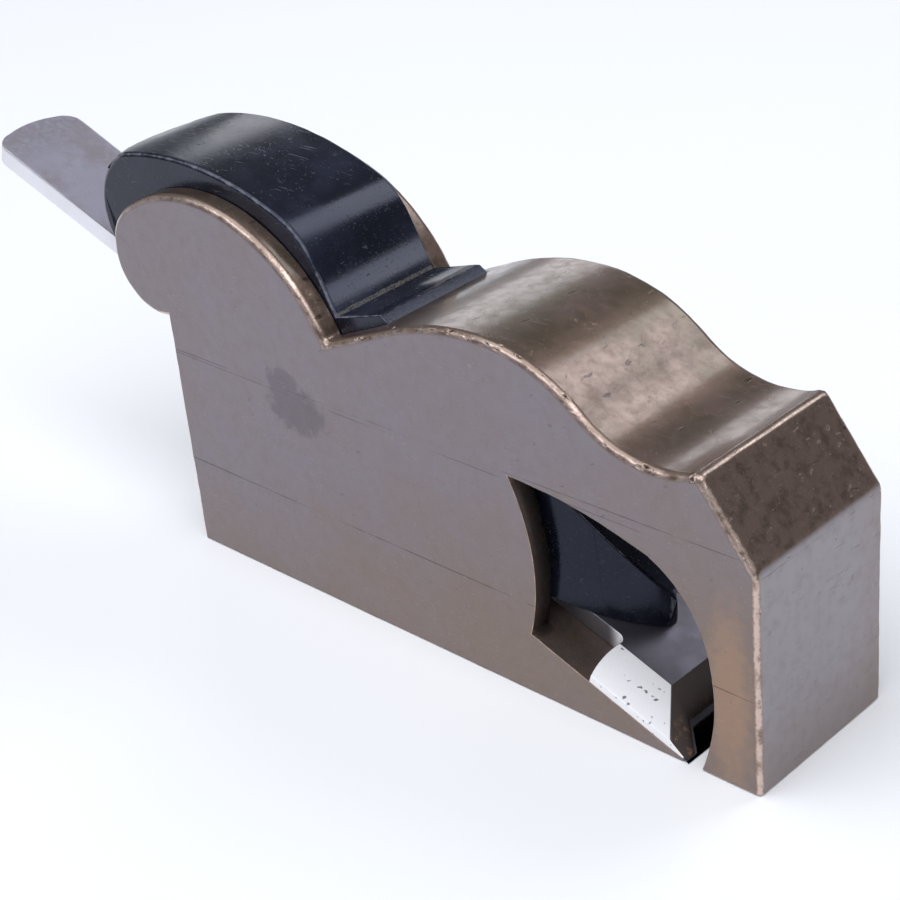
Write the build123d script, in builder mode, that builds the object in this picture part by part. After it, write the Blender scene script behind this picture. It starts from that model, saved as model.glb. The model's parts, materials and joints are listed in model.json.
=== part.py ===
"""Bullnose rabbet plane: a one-piece gunmetal body, a shouldered iron and an ebony wedge.

Millimetres. The origin is the centre of the sole. +X points to the toe, +Y to the left cheek, +Z up.
"""
import os
from math import acos, atan2, cos, degrees, radians, sin, sqrt, tan

from build123d import *

# Body: overall
SOLE_LENGTH = 101.6
BODY_WIDTH = 25.4
CHEEK_WALL = 3.175

# Body: toe block and bridge, set back from the toe and up from the sole
TOE_HEIGHT = 31.1
CROWN_BACK = 40.8
CROWN_HEIGHT = 49.7
CROWN_RADIUS = 24.0
CROWN_SWEEP = 40.0
HOLLOW_RADIUS = 16.5
HOLLOW_SWEEP = 64.4
TAIL_RADIUS = 40.0
TAIL_SLOPE = 23.5
BRIDGE_EDGE_BACK = 58.5
BRIDGE_EDGE_HEIGHT = 44.7

# Body: bed, slot and mouth
BED_ANGLE = 20.0
EDGE_BACK = 10.8
BED_LIP_BACK = 11.6
SLOT_TAPER = 9.0
MOUTH_FRONT_BACK = 8.8

# Body: heel scrolls, set in from the heel and up from the rear end of the bed
SCROLL_RADIUS = 26.9
SCROLL_IN = 8.8
SCROLL_DROP = 3.8
SCROLL_LEAN = 125.3
KNUCKLE_RADIUS = 8.3

# Body: side opening, as (back from the toe, up from the sole)
OPENING_TIP = (37.5, 31.7)
OPENING_REAR = (34.2, 19.0)
OPENING_HEEL_BACK = 35.6
OPENING_TOP = (25.0, 30.5)
OPENING_SHOULDER = ((15.8, 28.1), (10.6, 24.1), (7.8, 19.0))
OPENING_FRONT = (6.6, 11.0)

# Body: edge rounds
CREST_ROUND = 1.0

# Iron
IRON_THICKNESS = 2.88
IRON_LENGTH = 145.7
BLADE_LENGTH = 16.5
SHOULDER_SWEEP_BACK = 0.5
CUTTING_BEVEL = 19.0
SIDE_BEVEL_WIDTH = 5.7
BLADE_LAND = 1.15
NECK_SIDE_ROOM = 3.7
TAIL_SIDE_ROOM = 2.175
TAIL_BOW = 1.0
TAIL_CORNER = 3.0
NECK_FILLET = 1.5

# Wedge, set back from the bridge's rear edge
WEDGE_SIDE_CLEARANCE = 0.125
WEDGE_BRIDGE_CLEARANCE = 0.03
WEDGE_SEAT_CLEARANCE = 0.02
WEDGE_LIP_BACK = 2.5
WEDGE_VALLEY_BACK = 10.9
WEDGE_VALLEY_DROP = 1.2
WEDGE_FACE_ANGLE = 63.0
WEDGE_BROW_RADIUS = 11.0
WEDGE_TOP_RADIUS = 51.0
WEDGE_TOP_BACK = 39.8
WEDGE_TOP_HEIGHT = 59.5
WEDGE_CORNER_BACK = 56.7
WEDGE_END_BACK = 58.6
WEDGE_END_BULGE = (2.1, 5.4)
WEDGE_END_TURN_RADIUS = 23.1
WEDGE_EDGE_ROUND = 0.5
NOSE_BACK = 12.7
NOSE_FRONT = (0.9, 4.3)
NOSE_ROOT_BACK = 15.0
NOSE_SWELL = 0.6
NOSE_SIDE_LENGTH = 16.0
NOSE_SIDE_SWELL = 1.6
NOSE_OFFSET = 1.0

toe = SOLE_LENGTH / 2
heel = -SOLE_LENGTH / 2
half_width = BODY_WIDTH / 2
half_slot = half_width - CHEEK_WALL
edge_x = toe - EDGE_BACK
bridge_x = toe - BRIDGE_EDGE_BACK
bed_tan = tan(radians(BED_ANGLE))
ceiling_tan = tan(radians(BED_ANGLE + SLOT_TAPER))
iron_rise = IRON_THICKNESS / cos(radians(BED_ANGLE))


def bed_point(x: float) -> tuple[float, float]:
    """Point of the bed at x."""
    return (x, (edge_x - x) * bed_tan)


def seat_point(x: float) -> tuple[float, float]:
    """Point of the wedge's underside at x, a clearance above the iron's upper face."""
    return (x, (edge_x - x) * bed_tan + iron_rise + WEDGE_SEAT_CLEARANCE)


def ceiling_point(x: float, clearance: float = 0.0) -> tuple[float, float]:
    """Point of the slot's ceiling at x, or one lower by a clearance."""
    return (x, BRIDGE_EDGE_HEIGHT + (bridge_x - x) * ceiling_tan - clearance)


def from_toe(place: tuple[float, float]) -> tuple[float, float]:
    """Turn a (back from the toe, up) pair into a point."""
    return (toe - place[0], place[1])


def line_to_circle(start: Vector, way: Vector, centre: Vector, radius: float, side: int) -> Vector:
    """Where the line from start along way enters the circle (side -1) or leaves it (side 1)."""
    along = (centre - start).dot(way)
    aside = (centre - start).length ** 2 - along**2
    return start + way * (along + side * sqrt(radius**2 - aside))


# The bed's plane: its x runs up the bed to the heel from the cutting edge, and its z leaves the bed.
bed_plane = Plane(
    origin=(edge_x, 0, 0),
    x_dir=(-cos(radians(BED_ANGLE)), 0, sin(radians(BED_ANGLE))),
    z_dir=(sin(radians(BED_ANGLE)), 0, cos(radians(BED_ANGLE))),
)

# Scroll and knuckle centres, and the cusp where the scroll meets the tail of the crown
bed_heel_height = bed_point(heel)[1]
scroll_centre = Vector(heel + SCROLL_IN, bed_heel_height - SCROLL_DROP)
lean = Vector(cos(radians(SCROLL_LEAN)), sin(radians(SCROLL_LEAN)))
knuckle_centre = scroll_centre + lean * (SCROLL_RADIUS - KNUCKLE_RADIUS)
knuckle_end = 360 - degrees(acos((heel - knuckle_centre.X) / KNUCKLE_RADIUS))
crown = Vector(toe - CROWN_BACK, CROWN_HEIGHT)
tail_way = Vector(-cos(radians(TAIL_SLOPE)), -sin(radians(TAIL_SLOPE)))
tail_start = crown + Vector(tail_way.Y, -tail_way.X - 1) * TAIL_RADIUS
cusp = line_to_circle(tail_start, tail_way, scroll_centre, SCROLL_RADIUS, -1)
cusp_angle = degrees(atan2(cusp.Y - scroll_centre.Y, cusp.X - scroll_centre.X))

with BuildPart() as body:
    with BuildSketch(Plane.XZ):
        with BuildLine():
            crown_arc = JernArc(crown, (1, 0), CROWN_RADIUS, -CROWN_SWEEP)
            hollow = JernArc(crown_arc @ 1, crown_arc % 1, HOLLOW_RADIUS, HOLLOW_SWEEP)
            Polyline(hollow @ 1, (toe, TOE_HEIGHT), (toe, 0), (heel, 0), (heel, bed_heel_height))
            knuckle = CenterArc(knuckle_centre, KNUCKLE_RADIUS, SCROLL_LEAN, knuckle_end - SCROLL_LEAN)
            Line((heel, bed_heel_height), knuckle @ 1)
            CenterArc(scroll_centre, SCROLL_RADIUS, cusp_angle, SCROLL_LEAN - cusp_angle)
            Line(cusp, tail_start)
            JernArc(crown, (-1, 0), TAIL_RADIUS, TAIL_SLOPE)
        make_face()
    extrude(amount=half_width, both=True)

    # Worn rounds along the rims of the bridge and the toe
    rims = body.edges().filter_by(lambda e: abs(abs(e.center().Y) - half_width) < 0.01)
    fillet(rims.filter_by(lambda e: e.center().X > cusp.X and e.center().Z > TOE_HEIGHT / 3), CREST_ROUND)

    # Slot between the cheeks, from the side opening out past the heel
    with BuildSketch(Plane.XZ):
        with BuildLine():
            front_x = toe - OPENING_TOP[0]
            rear_x = 2 * heel
            Polyline(
                bed_point(front_x),
                bed_point(rear_x),
                ceiling_point(rear_x),
                ceiling_point(front_x),
                close=True,
            )
        make_face()
    extrude(amount=half_slot, both=True, mode=Mode.SUBTRACT)

    # Side opening, through both cheeks down to the mouth
    with BuildSketch(Plane.XZ):
        with BuildLine():
            heel_corner = bed_point(toe - OPENING_HEEL_BACK)
            lip_x = toe - BED_LIP_BACK
            shoulder = [from_toe(place) for place in OPENING_SHOULDER]
            ThreePointArc(heel_corner, from_toe(OPENING_REAR), from_toe(OPENING_TIP))
            ThreePointArc(from_toe(OPENING_TIP), from_toe(OPENING_TOP), shoulder[0])
            ThreePointArc(*shoulder)
            ThreePointArc(shoulder[2], from_toe(OPENING_FRONT), (toe - MOUTH_FRONT_BACK, 0))
            Polyline((toe - MOUTH_FRONT_BACK, 0), (lip_x, 0), bed_point(lip_x), heel_corner)
        make_face()
    extrude(amount=BODY_WIDTH, both=True, mode=Mode.SUBTRACT)
body.part.label = "body"

with BuildPart() as iron:
    neck = half_slot - NECK_SIDE_ROOM
    tail = half_slot - TAIL_SIDE_ROOM
    with BuildSketch(bed_plane) as iron_plan:
        with BuildLine():
            tail_arc = ThreePointArc(
                (IRON_LENGTH - TAIL_BOW, -tail), (IRON_LENGTH, 0), (IRON_LENGTH - TAIL_BOW, tail)
            )
            outline = Polyline(
                tail_arc @ 1,
                (BLADE_LENGTH + SHOULDER_SWEEP_BACK, neck),
                (BLADE_LENGTH, half_width),
                (0, half_width),
                (0, -half_width),
                (BLADE_LENGTH, -half_width),
                (BLADE_LENGTH + SHOULDER_SWEEP_BACK, -neck),
                tail_arc @ 0,
            )
        make_face()
        fillet(iron_plan.vertices().group_by(Axis.X)[-1], TAIL_CORNER)
        neck_corners = iron_plan.vertices().filter_by(lambda v: abs(abs(v.Y) - neck) < 0.01)
        fillet(neck_corners, NECK_FILLET)
    extrude(amount=IRON_THICKNESS)

    # Cutting bevel, ground down to the edge
    with BuildSketch(Plane.XZ):
        with BuildLine():
            bevel_angle = radians(BED_ANGLE + CUTTING_BEVEL)
            bevel_run = 2 * IRON_THICKNESS / sin(radians(CUTTING_BEVEL))
            bevel_top = (edge_x - bevel_run * cos(bevel_angle), bevel_run * sin(bevel_angle))
            Polyline((edge_x, 0), bevel_top, (edge_x + BLADE_LENGTH, bevel_top[1]), close=True)
        make_face()
    extrude(amount=BODY_WIDTH, both=True, mode=Mode.SUBTRACT)

    # Side bevels of the blade, from the flat down to the lands
    with BuildSketch(Plane(origin=bed_plane.origin, x_dir=bed_plane.y_dir, z_dir=bed_plane.x_dir)):
        for side in (-1, 1):
            with BuildLine():
                Polyline(
                    (side * (half_width - SIDE_BEVEL_WIDTH), IRON_THICKNESS),
                    (side * half_width, BLADE_LAND),
                    (side * (half_width + SIDE_BEVEL_WIDTH), IRON_THICKNESS),
                    close=True,
                )
            make_face()
    extrude(amount=BLADE_LENGTH + SHOULDER_SWEEP_BACK, mode=Mode.SUBTRACT)
iron.part.label = "iron"

wedge_half = half_slot - WEDGE_SIDE_CLEARANCE
end_x = bridge_x - WEDGE_END_BACK
end_foot = Vector(*seat_point(end_x))
end_bulge = end_foot + Vector(-WEDGE_END_BULGE[0], WEDGE_END_BULGE[1])
top_centre = Vector(bridge_x - WEDGE_TOP_BACK, WEDGE_TOP_HEIGHT - WEDGE_TOP_RADIUS)
corner_x = bridge_x - WEDGE_CORNER_BACK
corner_rise = sqrt(WEDGE_TOP_RADIUS**2 - (corner_x - top_centre.X) ** 2)
corner = Vector(corner_x, top_centre.Y + corner_rise)

# The space that the wedge's rounded rear end keeps to: its end curve turned about an upright axis
with BuildPart() as end_space:
    end_axis_x = end_bulge.X + WEDGE_END_TURN_RADIUS
    with BuildSketch(Plane.XZ):
        with BuildLine():
            ThreePointArc(end_foot, end_bulge, corner)
            above, below = 2 * WEDGE_TOP_HEIGHT, 0
            Polyline(
                corner,
                (corner_x, above),
                (end_axis_x, above),
                (end_axis_x, below),
                (end_x, below),
                end_foot,
            )
        make_face()
    revolve(axis=Axis((end_axis_x, 0, 0), (0, 0, 1)))
    with Locations((end_axis_x, 0, 0)):
        Box(2 * SOLE_LENGTH, SOLE_LENGTH, above, align=(Align.MIN, Align.CENTER, Align.MIN))

with BuildPart() as wedge:
    nose_x = edge_x - NOSE_BACK
    valley = Vector(bridge_x - WEDGE_VALLEY_BACK, BRIDGE_EDGE_HEIGHT - WEDGE_VALLEY_DROP)
    face_way = Vector(-cos(radians(WEDGE_FACE_ANGLE)), sin(radians(WEDGE_FACE_ANGLE)))
    face_inward = Vector(-face_way.Y, face_way.X)
    inner_start = valley + face_inward * WEDGE_BROW_RADIUS
    inner_radius = WEDGE_TOP_RADIUS - WEDGE_BROW_RADIUS
    brow_centre = line_to_circle(inner_start, face_way, top_centre, inner_radius, 1)
    face_top = brow_centre - face_inward * WEDGE_BROW_RADIUS
    brow_top = top_centre + (brow_centre - top_centre).normalized() * WEDGE_TOP_RADIUS
    with BuildSketch(Plane.XZ):
        with BuildLine():
            lip = ceiling_point(bridge_x - WEDGE_LIP_BACK, WEDGE_BRIDGE_CLEARANCE)
            root = ceiling_point(nose_x - NOSE_ROOT_BACK, WEDGE_BRIDGE_CLEARANCE)
            nose_foot = seat_point(nose_x)
            nose_front = (nose_x + NOSE_FRONT[0], nose_foot[1] + NOSE_FRONT[1])
            ThreePointArc(end_foot, end_bulge, corner)
            RadiusArc(corner, brow_top, WEDGE_TOP_RADIUS)
            RadiusArc(brow_top, face_top, WEDGE_BROW_RADIUS)
            Polyline(face_top, valley, lip, root)
            SagittaArc(root, nose_front, NOSE_SWELL)
            Polyline(nose_front, nose_foot, end_foot)
        make_face()
    extrude(amount=wedge_half, both=True)

    # Nose pointed in plan
    with BuildSketch():
        with BuildLine():
            side_start = nose_x - NOSE_SIDE_LENGTH
            point = (nose_front[0], NOSE_OFFSET)
            near_nose = SagittaArc((side_start, -wedge_half), point, -NOSE_SIDE_SWELL)
            far_nose = SagittaArc(point, (side_start, wedge_half), -NOSE_SIDE_SWELL)
            Polyline(far_nose @ 1, (2 * end_x, wedge_half), (2 * end_x, -wedge_half), near_nose @ 0)
        make_face()
    extrude(amount=2 * WEDGE_TOP_HEIGHT, mode=Mode.INTERSECT)
    add(end_space.part, mode=Mode.INTERSECT)

    # Worn rounds along the hump
    hump_edges = wedge.edges().filter_by(GeomType.CIRCLE).filter_by(lambda e: e.center().Z > valley.Y)
    fillet(hump_edges.filter_by(lambda e: abs(e.center().Y) > wedge_half - 0.1), WEDGE_EDGE_ROUND)
wedge.part.label = "wedge"

os.makedirs("parts", exist_ok=True)
for piece in (body, iron, wedge):
    export_step(piece.part, f"parts/{piece.part.label}.step")
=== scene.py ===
"""Looks for a bullnose rabbet plane: a gunmetal body, a steel iron and an ebony wedge.

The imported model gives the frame, the moving bodies and the overall size. Each piece is drawn again here
with finely divided curves, worn edges and small damage, and dressed in a procedural finish. Sizes in the
classes are millimetres, because that is how the plane is measured; meshes are in metres.
"""

import json
import logging
import math
import random
from dataclasses import dataclass, field
from enum import Enum
from typing import Callable, Iterable, Optional, Sequence, Union

import bmesh
import bpy
from mathutils import Euler, Matrix, Vector, noise

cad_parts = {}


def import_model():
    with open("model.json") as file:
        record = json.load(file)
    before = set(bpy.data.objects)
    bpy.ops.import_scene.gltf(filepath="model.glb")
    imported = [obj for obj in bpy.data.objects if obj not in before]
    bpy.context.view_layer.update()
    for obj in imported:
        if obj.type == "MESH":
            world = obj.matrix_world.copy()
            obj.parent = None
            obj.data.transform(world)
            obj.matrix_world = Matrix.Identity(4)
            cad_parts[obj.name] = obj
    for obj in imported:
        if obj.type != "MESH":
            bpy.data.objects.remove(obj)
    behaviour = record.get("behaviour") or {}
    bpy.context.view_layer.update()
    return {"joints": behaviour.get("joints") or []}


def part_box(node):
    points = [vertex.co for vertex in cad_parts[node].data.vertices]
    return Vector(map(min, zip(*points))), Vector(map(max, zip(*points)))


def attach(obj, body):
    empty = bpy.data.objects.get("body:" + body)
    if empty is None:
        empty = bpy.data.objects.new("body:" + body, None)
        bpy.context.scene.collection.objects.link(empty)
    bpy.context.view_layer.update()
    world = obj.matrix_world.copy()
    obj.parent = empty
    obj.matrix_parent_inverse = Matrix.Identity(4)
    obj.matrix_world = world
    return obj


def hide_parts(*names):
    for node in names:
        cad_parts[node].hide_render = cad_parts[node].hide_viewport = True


LOG = logging.getLogger("bullnose_plane")
MM = 0.001
RIM = "rim"

Point = tuple[float, float]
Colour = tuple[float, float, float]
SocketValue = Union[bpy.types.NodeSocket, float, tuple]


# ---------------------------------------------------------------------------------------------- outlines


def on_circle(centre: Point, radius: float, angle: float) -> Point:
    """Point of a circle at an angle in degrees, counted from +X towards +Z."""
    turn = math.radians(angle)
    return (centre[0] + radius * math.cos(turn), centre[1] + radius * math.sin(turn))


def circle_through(a: Point, b: Point, c: Point) -> Point:
    """Centre of the circle through three points."""
    span_b, span_c = Vector(b) - Vector(a), Vector(c) - Vector(a)
    cross = 2 * (span_b.x * span_c.y - span_b.y * span_c.x)
    x = (span_c.y * span_b.length_squared - span_b.y * span_c.length_squared) / cross
    y = (span_b.x * span_c.length_squared - span_c.x * span_b.length_squared) / cross
    return (a[0] + x, a[1] + y)


def line_meets_circle(start: Point, way: Vector, centre: Point, radius: float, side: int) -> Point:
    """Where a line enters (side -1) or leaves (side 1) a circle.

    Args:
        start: A point of the line.
        way: The line's unit direction.
        centre: The circle's centre.
        radius: The circle's radius.
        side: -1 for the first crossing, 1 for the second.

    Returns:
        The crossing.
    """
    to_centre = Vector(centre) - Vector(start)
    along = to_centre.dot(way)
    reach = along + side * math.sqrt(radius**2 - to_centre.length_squared + along**2)
    met = Vector(start) + way * reach
    return (met.x, met.y)


class Outline:
    """A closed outline in the upright plane y = 0, drawn in millimetres with lines and spun arcs."""

    STEP = 0.8
    TURN = 5.0

    def __init__(self, start: Point) -> None:
        """Set the pen down at start."""
        self.mesh = bmesh.new()
        self.start = start
        self.pen = self.mesh.verts.new((start[0] * MM, 0, start[1] * MM))

    def line(self, *points: Point, step: float = 0.0) -> "Outline":
        """Draw straight runs to each point in turn, cut into steps when a step is given."""
        for x, z in points:
            goal = Vector((x * MM, 0, z * MM))
            origin = self.pen.co.copy()
            runs = max(1, round((goal - origin).length / (step * MM))) if step else 1
            for i in range(1, runs + 1):
                made = bmesh.ops.extrude_vert_indiv(self.mesh, verts=[self.pen])
                self.pen = made["verts"][0]
                self.pen.co = origin.lerp(goal, i / runs)
        return self

    def arc(self, centre: Point, turn: float) -> "Outline":
        """Spin the pen about a centre by a turn in degrees, counter-clockwise when positive."""
        middle = Vector((centre[0] * MM, 0, centre[1] * MM))
        length = (self.pen.co - middle).length / MM * math.radians(abs(turn))
        steps = max(2, math.ceil(max(length / self.STEP, abs(turn) / self.TURN)))
        made = bmesh.ops.spin(
            self.mesh,
            geom=[self.pen],
            cent=middle,
            axis=(0, -1, 0),
            angle=math.radians(turn),
            steps=steps,
        )
        self.pen = next(item for item in made["geom_last"] if isinstance(item, bmesh.types.BMVert))
        return self

    def arc_through(self, middle: Point, end: Point) -> "Outline":
        """Draw the arc from the pen through a middle point to an end."""
        start = (self.pen.co.x / MM, self.pen.co.z / MM)
        centre = circle_through(start, middle, end)
        angles = [math.atan2(p[1] - centre[1], p[0] - centre[0]) for p in (start, middle, end)]
        full = 2 * math.pi
        to_middle, to_end = (angles[1] - angles[0]) % full, (angles[2] - angles[0]) % full
        if to_middle > to_end:
            to_end -= full
        return self.arc(centre, math.degrees(to_end))

    def prism(self, low: float, high: float) -> bmesh.types.BMesh:
        """Close the outline and pull it across the plane.

        Args:
            low: Where the prism starts along Y, in millimetres.
            high: Where it ends.

        Returns:
            The closed solid.
        """
        bm = self.mesh
        self.line(self.start, step=Outline.STEP * 2)
        bmesh.ops.remove_doubles(bm, verts=bm.verts[:], dist=1e-3 * MM)
        bmesh.ops.translate(bm, verts=bm.verts[:], vec=(0, low * MM, 0))
        bmesh.ops.contextual_create(bm, geom=bm.edges[:])
        made = bmesh.ops.extrude_face_region(bm, geom=bm.faces[:])
        moved = [item for item in made["geom"] if isinstance(item, bmesh.types.BMVert)]
        bmesh.ops.translate(bm, verts=moved, vec=(0, (high - low) * MM, 0))
        bmesh.ops.recalc_face_normals(bm, faces=bm.faces[:])
        return bm


# ------------------------------------------------------------------------------------------------ solids


def as_object(name: str, bm: bmesh.types.BMesh) -> bpy.types.Object:
    """Turn a bmesh into a linked object and free it."""
    mesh = bpy.data.meshes.new(name)
    bm.to_mesh(mesh)
    bm.free()
    made = bpy.data.objects.new(name, mesh)
    bpy.context.scene.collection.objects.link(made)
    return made


def bake_modifiers(piece: bpy.types.Object) -> None:
    """Replace a piece's mesh by the one that its modifiers make."""
    depsgraph = bpy.context.evaluated_depsgraph_get()
    fresh = bpy.data.meshes.new_from_object(piece.evaluated_get(depsgraph))
    fresh.name = piece.data.name
    spent = piece.data
    piece.modifiers.clear()
    piece.data = fresh
    bpy.data.meshes.remove(spent)


def set_material_index(piece: bpy.types.Object, index: int) -> None:
    """Give all of a piece's faces one material slot."""
    piece.data.polygons.foreach_set("material_index", [index] * len(piece.data.polygons))


class Join(Enum):
    """How two solids are combined."""

    CUT = "DIFFERENCE"
    COMMON = "INTERSECT"


def combine(
    piece: bpy.types.Object, tool: bpy.types.Object, join: Join = Join.CUT, solver: str = "EXACT"
) -> None:
    """Cut a piece with a tool, or keep only what both hold, and remove the tool.

    Args:
        piece: The solid that is changed.
        tool: The closed solid that cuts it. Its faces keep their material slot.
        join: Whether the tool is cut away, or only the common part is kept.
        solver: EXACT, or MANIFOLD for a tool of many small balls.
    """
    cut = piece.modifiers.new("cut", "BOOLEAN")
    cut.operation = join.value
    cut.solver = solver
    cut.object = tool
    bake_modifiers(piece)
    bpy.data.objects.remove(tool)


def tidy_mesh(piece: bpy.types.Object, gap: float) -> None:
    """Merge points that are closer than a gap in millimetres, and drop what that leaves flat."""
    bm = bmesh.new()
    bm.from_mesh(piece.data)
    bmesh.ops.remove_doubles(bm, verts=bm.verts[:], dist=gap * MM)
    bmesh.ops.dissolve_degenerate(bm, edges=bm.edges[:], dist=gap * MM / 2)
    bm.to_mesh(piece.data)
    bm.free()


def round_edges(
    piece: bpy.types.Object,
    width_of: Callable[[bmesh.types.BMEdge], float],
    widest: float,
    segments: int,
    sharp_angle: float = 20.0,
) -> None:
    """Round a piece's outer edges, each by its own width.

    Args:
        piece: The sharp solid.
        width_of: Gives an edge's round in millimetres, or 0 to leave it.
        widest: The largest width that width_of gives.
        segments: Strips across each round.
        sharp_angle: Edges that turn less than this many degrees are left.
    """
    bm = bmesh.new()
    bm.from_mesh(piece.data)
    layer = bm.edges.layers.float.new("bevel_weight_edge")
    for edge in bm.edges:
        if len(edge.link_faces) == 2 and edge.calc_face_angle_signed() > math.radians(sharp_angle):
            edge[layer] = min(1.0, width_of(edge) / widest)
    bm.to_mesh(piece.data)
    bm.free()
    bevel = piece.modifiers.new("round", "BEVEL")
    bevel.limit_method = "WEIGHT"
    bevel.width = widest * MM
    bevel.segments = segments
    bevel.use_clamp_overlap = False
    bevel.miter_outer = "MITER_ARC"
    bake_modifiers(piece)


def split_cross_edges(piece: bpy.types.Object, longer: float, cuts: int) -> None:
    """Divide the long sharp edges that run across a piece, so that their rounds can be uneven.

    Args:
        piece: The sharp solid.
        longer: Only edges longer than this many millimetres are divided.
        cuts: New points on each.
    """
    bm = bmesh.new()
    bm.from_mesh(piece.data)
    chosen = []
    for edge in bm.edges:
        run = edge.verts[1].co - edge.verts[0].co
        if run.length > longer * MM and abs(run.normalized().y) > 0.99 and len(edge.link_faces) == 2:
            if edge.calc_face_angle_signed() > math.radians(20):
                chosen.append(edge)
    bmesh.ops.subdivide_edges(bm, edges=chosen, cuts=cuts)
    bm.to_mesh(piece.data)
    bm.free()


def wear_rims(piece: bpy.types.Object, depth: float, sink: float = 0.0) -> None:
    """Mark the middle of each round in the "rim" attribute and make it uneven.

    Args:
        piece: The rounded solid.
        depth: The largest swing in or out, in millimetres.
        sink: How far the swings are moved inward, as a share of the depth.
    """
    flat_area = 8e-6
    strip_turn = math.radians(13)
    bm = bmesh.new()
    bm.from_mesh(piece.data)
    bm.normal_update()
    layer = bm.verts.layers.float.new(RIM)
    for vert in bm.verts:
        faces = vert.link_faces
        turn = max((a.normal.angle(b.normal, 0) for a in faces for b in faces), default=0)
        if turn > strip_turn and max(face.calc_area() for face in faces) < flat_area:
            vert[layer] = 1.0
    marked = {vert for vert in bm.verts if vert[layer]}
    for vert in marked:
        if any(edge.other_vert(vert) not in marked for edge in vert.link_edges):
            vert[layer] = 0.55
    for vert in bm.verts:
        if vert[layer]:
            spot = vert.co / MM
            swing = 0.7 * noise.noise(spot * 0.45) + 0.3 * noise.noise(spot * 1.7)
            vert.co += vert.normal * (swing - sink) * depth * MM
    bm.to_mesh(piece.data)
    bm.free()


def smooth_shading(piece: bpy.types.Object) -> None:
    """Shade a piece smooth, with flat faces that stay flat up to their rounds."""
    piece.data.polygons.foreach_set("use_smooth", [True] * len(piece.data.polygons))
    weighted = piece.modifiers.new("flat faces", "WEIGHTED_NORMAL")
    weighted.mode = "FACE_AREA"
    weighted.weight = 60
    weighted.keep_sharp = True


@dataclass(frozen=True)
class Nick:
    """A small bite out of an edge.

    Attributes:
        place: Its centre in millimetres.
        size: Its half-lengths along X, Y and Z.
    """

    place: tuple[float, float, float]
    size: tuple[float, float, float]


def nick_tool(name: str, nicks: Sequence[Nick], dice: random.Random) -> bpy.types.Object:
    """Make one cutter from many small crumpled balls.

    Args:
        name: The cutter's name.
        nicks: The bites.
        dice: The seeded source of their turns and shapes.

    Returns:
        The cutter.
    """
    bm = bmesh.new()
    for nick in nicks:
        made = bmesh.ops.create_icosphere(bm, subdivisions=2, radius=1.0)["verts"]
        for vert in made:
            vert.co *= 1 + 0.22 * (dice.random() - 0.5)
        turn = Euler([dice.uniform(-0.6, 0.6) for _ in range(3)]).to_matrix().to_4x4()
        size = Matrix.Diagonal((*[s * MM for s in nick.size], 1))
        place = Matrix.Translation([p * MM for p in nick.place])
        bmesh.ops.transform(bm, matrix=place @ turn @ size, verts=made)
    return as_object(name, bm)


# ----------------------------------------------------------------------------------------- shader graphs


class Graph:
    """Short words for wiring a node tree."""

    def __init__(self, tree: bpy.types.NodeTree) -> None:
        """Work on one tree."""
        self.tree = tree

    def node(self, kind: str, inputs: Optional[dict] = None, **settings: object) -> bpy.types.Node:
        """Add a node.

        Args:
            kind: The node's type name, without its ShaderNode prefix.
            inputs: Values or sockets by input name or index.
            **settings: The node's own settings.

        Returns:
            The node.
        """
        made = self.tree.nodes.new("ShaderNode" + kind)
        for key, value in settings.items():
            setattr(made, key, value)
        for key, value in (inputs or {}).items():
            self.feed(made.inputs[key], value)
        return made

    def feed(self, socket: bpy.types.NodeSocket, value: SocketValue) -> None:
        """Link a socket to an input, or set the input to a constant."""
        if isinstance(value, bpy.types.NodeSocket):
            self.tree.links.new(value, socket)
        elif isinstance(value, tuple) and len(value) == 3 and socket.type == "RGBA":
            socket.default_value = (*value, 1.0)
        else:
            socket.default_value = value

    def math(self, operation: str, *values: SocketValue, clamp: bool = False) -> bpy.types.NodeSocket:
        """Do sums on numbers."""
        inputs = dict(enumerate(values))
        return self.node("Math", inputs, operation=operation, use_clamp=clamp).outputs[0]

    def ramp(
        self, value: SocketValue, low: SocketValue, high: SocketValue, start: float = 0.0, end: float = 1.0
    ) -> bpy.types.NodeSocket:
        """Rise smoothly from start to end as value goes from low to high."""
        inputs = {0: value, 1: low, 2: high, 3: start, 4: end}
        return self.node("MapRange", inputs, interpolation_type="SMOOTHSTEP").outputs[0]

    def mix(self, share: SocketValue, a: SocketValue, b: SocketValue) -> bpy.types.NodeSocket:
        """Blend two colours."""
        made = self.node("Mix", {0: share}, data_type="RGBA")
        self.feed(made.inputs[6], a)
        self.feed(made.inputs[7], b)
        return made.outputs[2]

    def blend(self, share: SocketValue, a: SocketValue, b: SocketValue) -> bpy.types.NodeSocket:
        """Blend two numbers."""
        return self.node("Mix", {0: share, 2: a, 3: b}, data_type="FLOAT").outputs[0]

    def split(self, vector: bpy.types.NodeSocket) -> tuple:
        """X, Y and Z of a vector."""
        return tuple(self.node("SeparateXYZ", {0: vector}).outputs)

    def stretch(self, vector: SocketValue, scale: tuple, turn: tuple = (0, 0, 0)) -> bpy.types.NodeSocket:
        """Turn a pattern by degrees, then scale it."""
        angles = tuple(math.radians(t) for t in turn)
        inner = self.node("Mapping", {"Vector": vector, "Rotation": angles}).outputs[0]
        return self.node("Mapping", {"Vector": inner, "Scale": scale}).outputs[0]

    def noise(
        self, vector: SocketValue, scale: float, detail: float = 3.0, roughness: float = 0.55
    ) -> bpy.types.NodeSocket:
        """Cloudy noise from 0 to 1."""
        inputs = {"Vector": vector, "Scale": scale, "Detail": detail, "Roughness": roughness}
        return self.node("TexNoise", inputs).outputs["Fac"]

    def group(self, tree: bpy.types.NodeTree, **values: SocketValue) -> bpy.types.Node:
        """Place a node group, with its inputs named in lower case with underscores."""
        made = self.tree.nodes.new("ShaderNodeGroup")
        made.node_tree = tree
        for key, value in values.items():
            self.feed(made.inputs[key.replace("_", " ").capitalize()], value)
        return made


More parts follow.
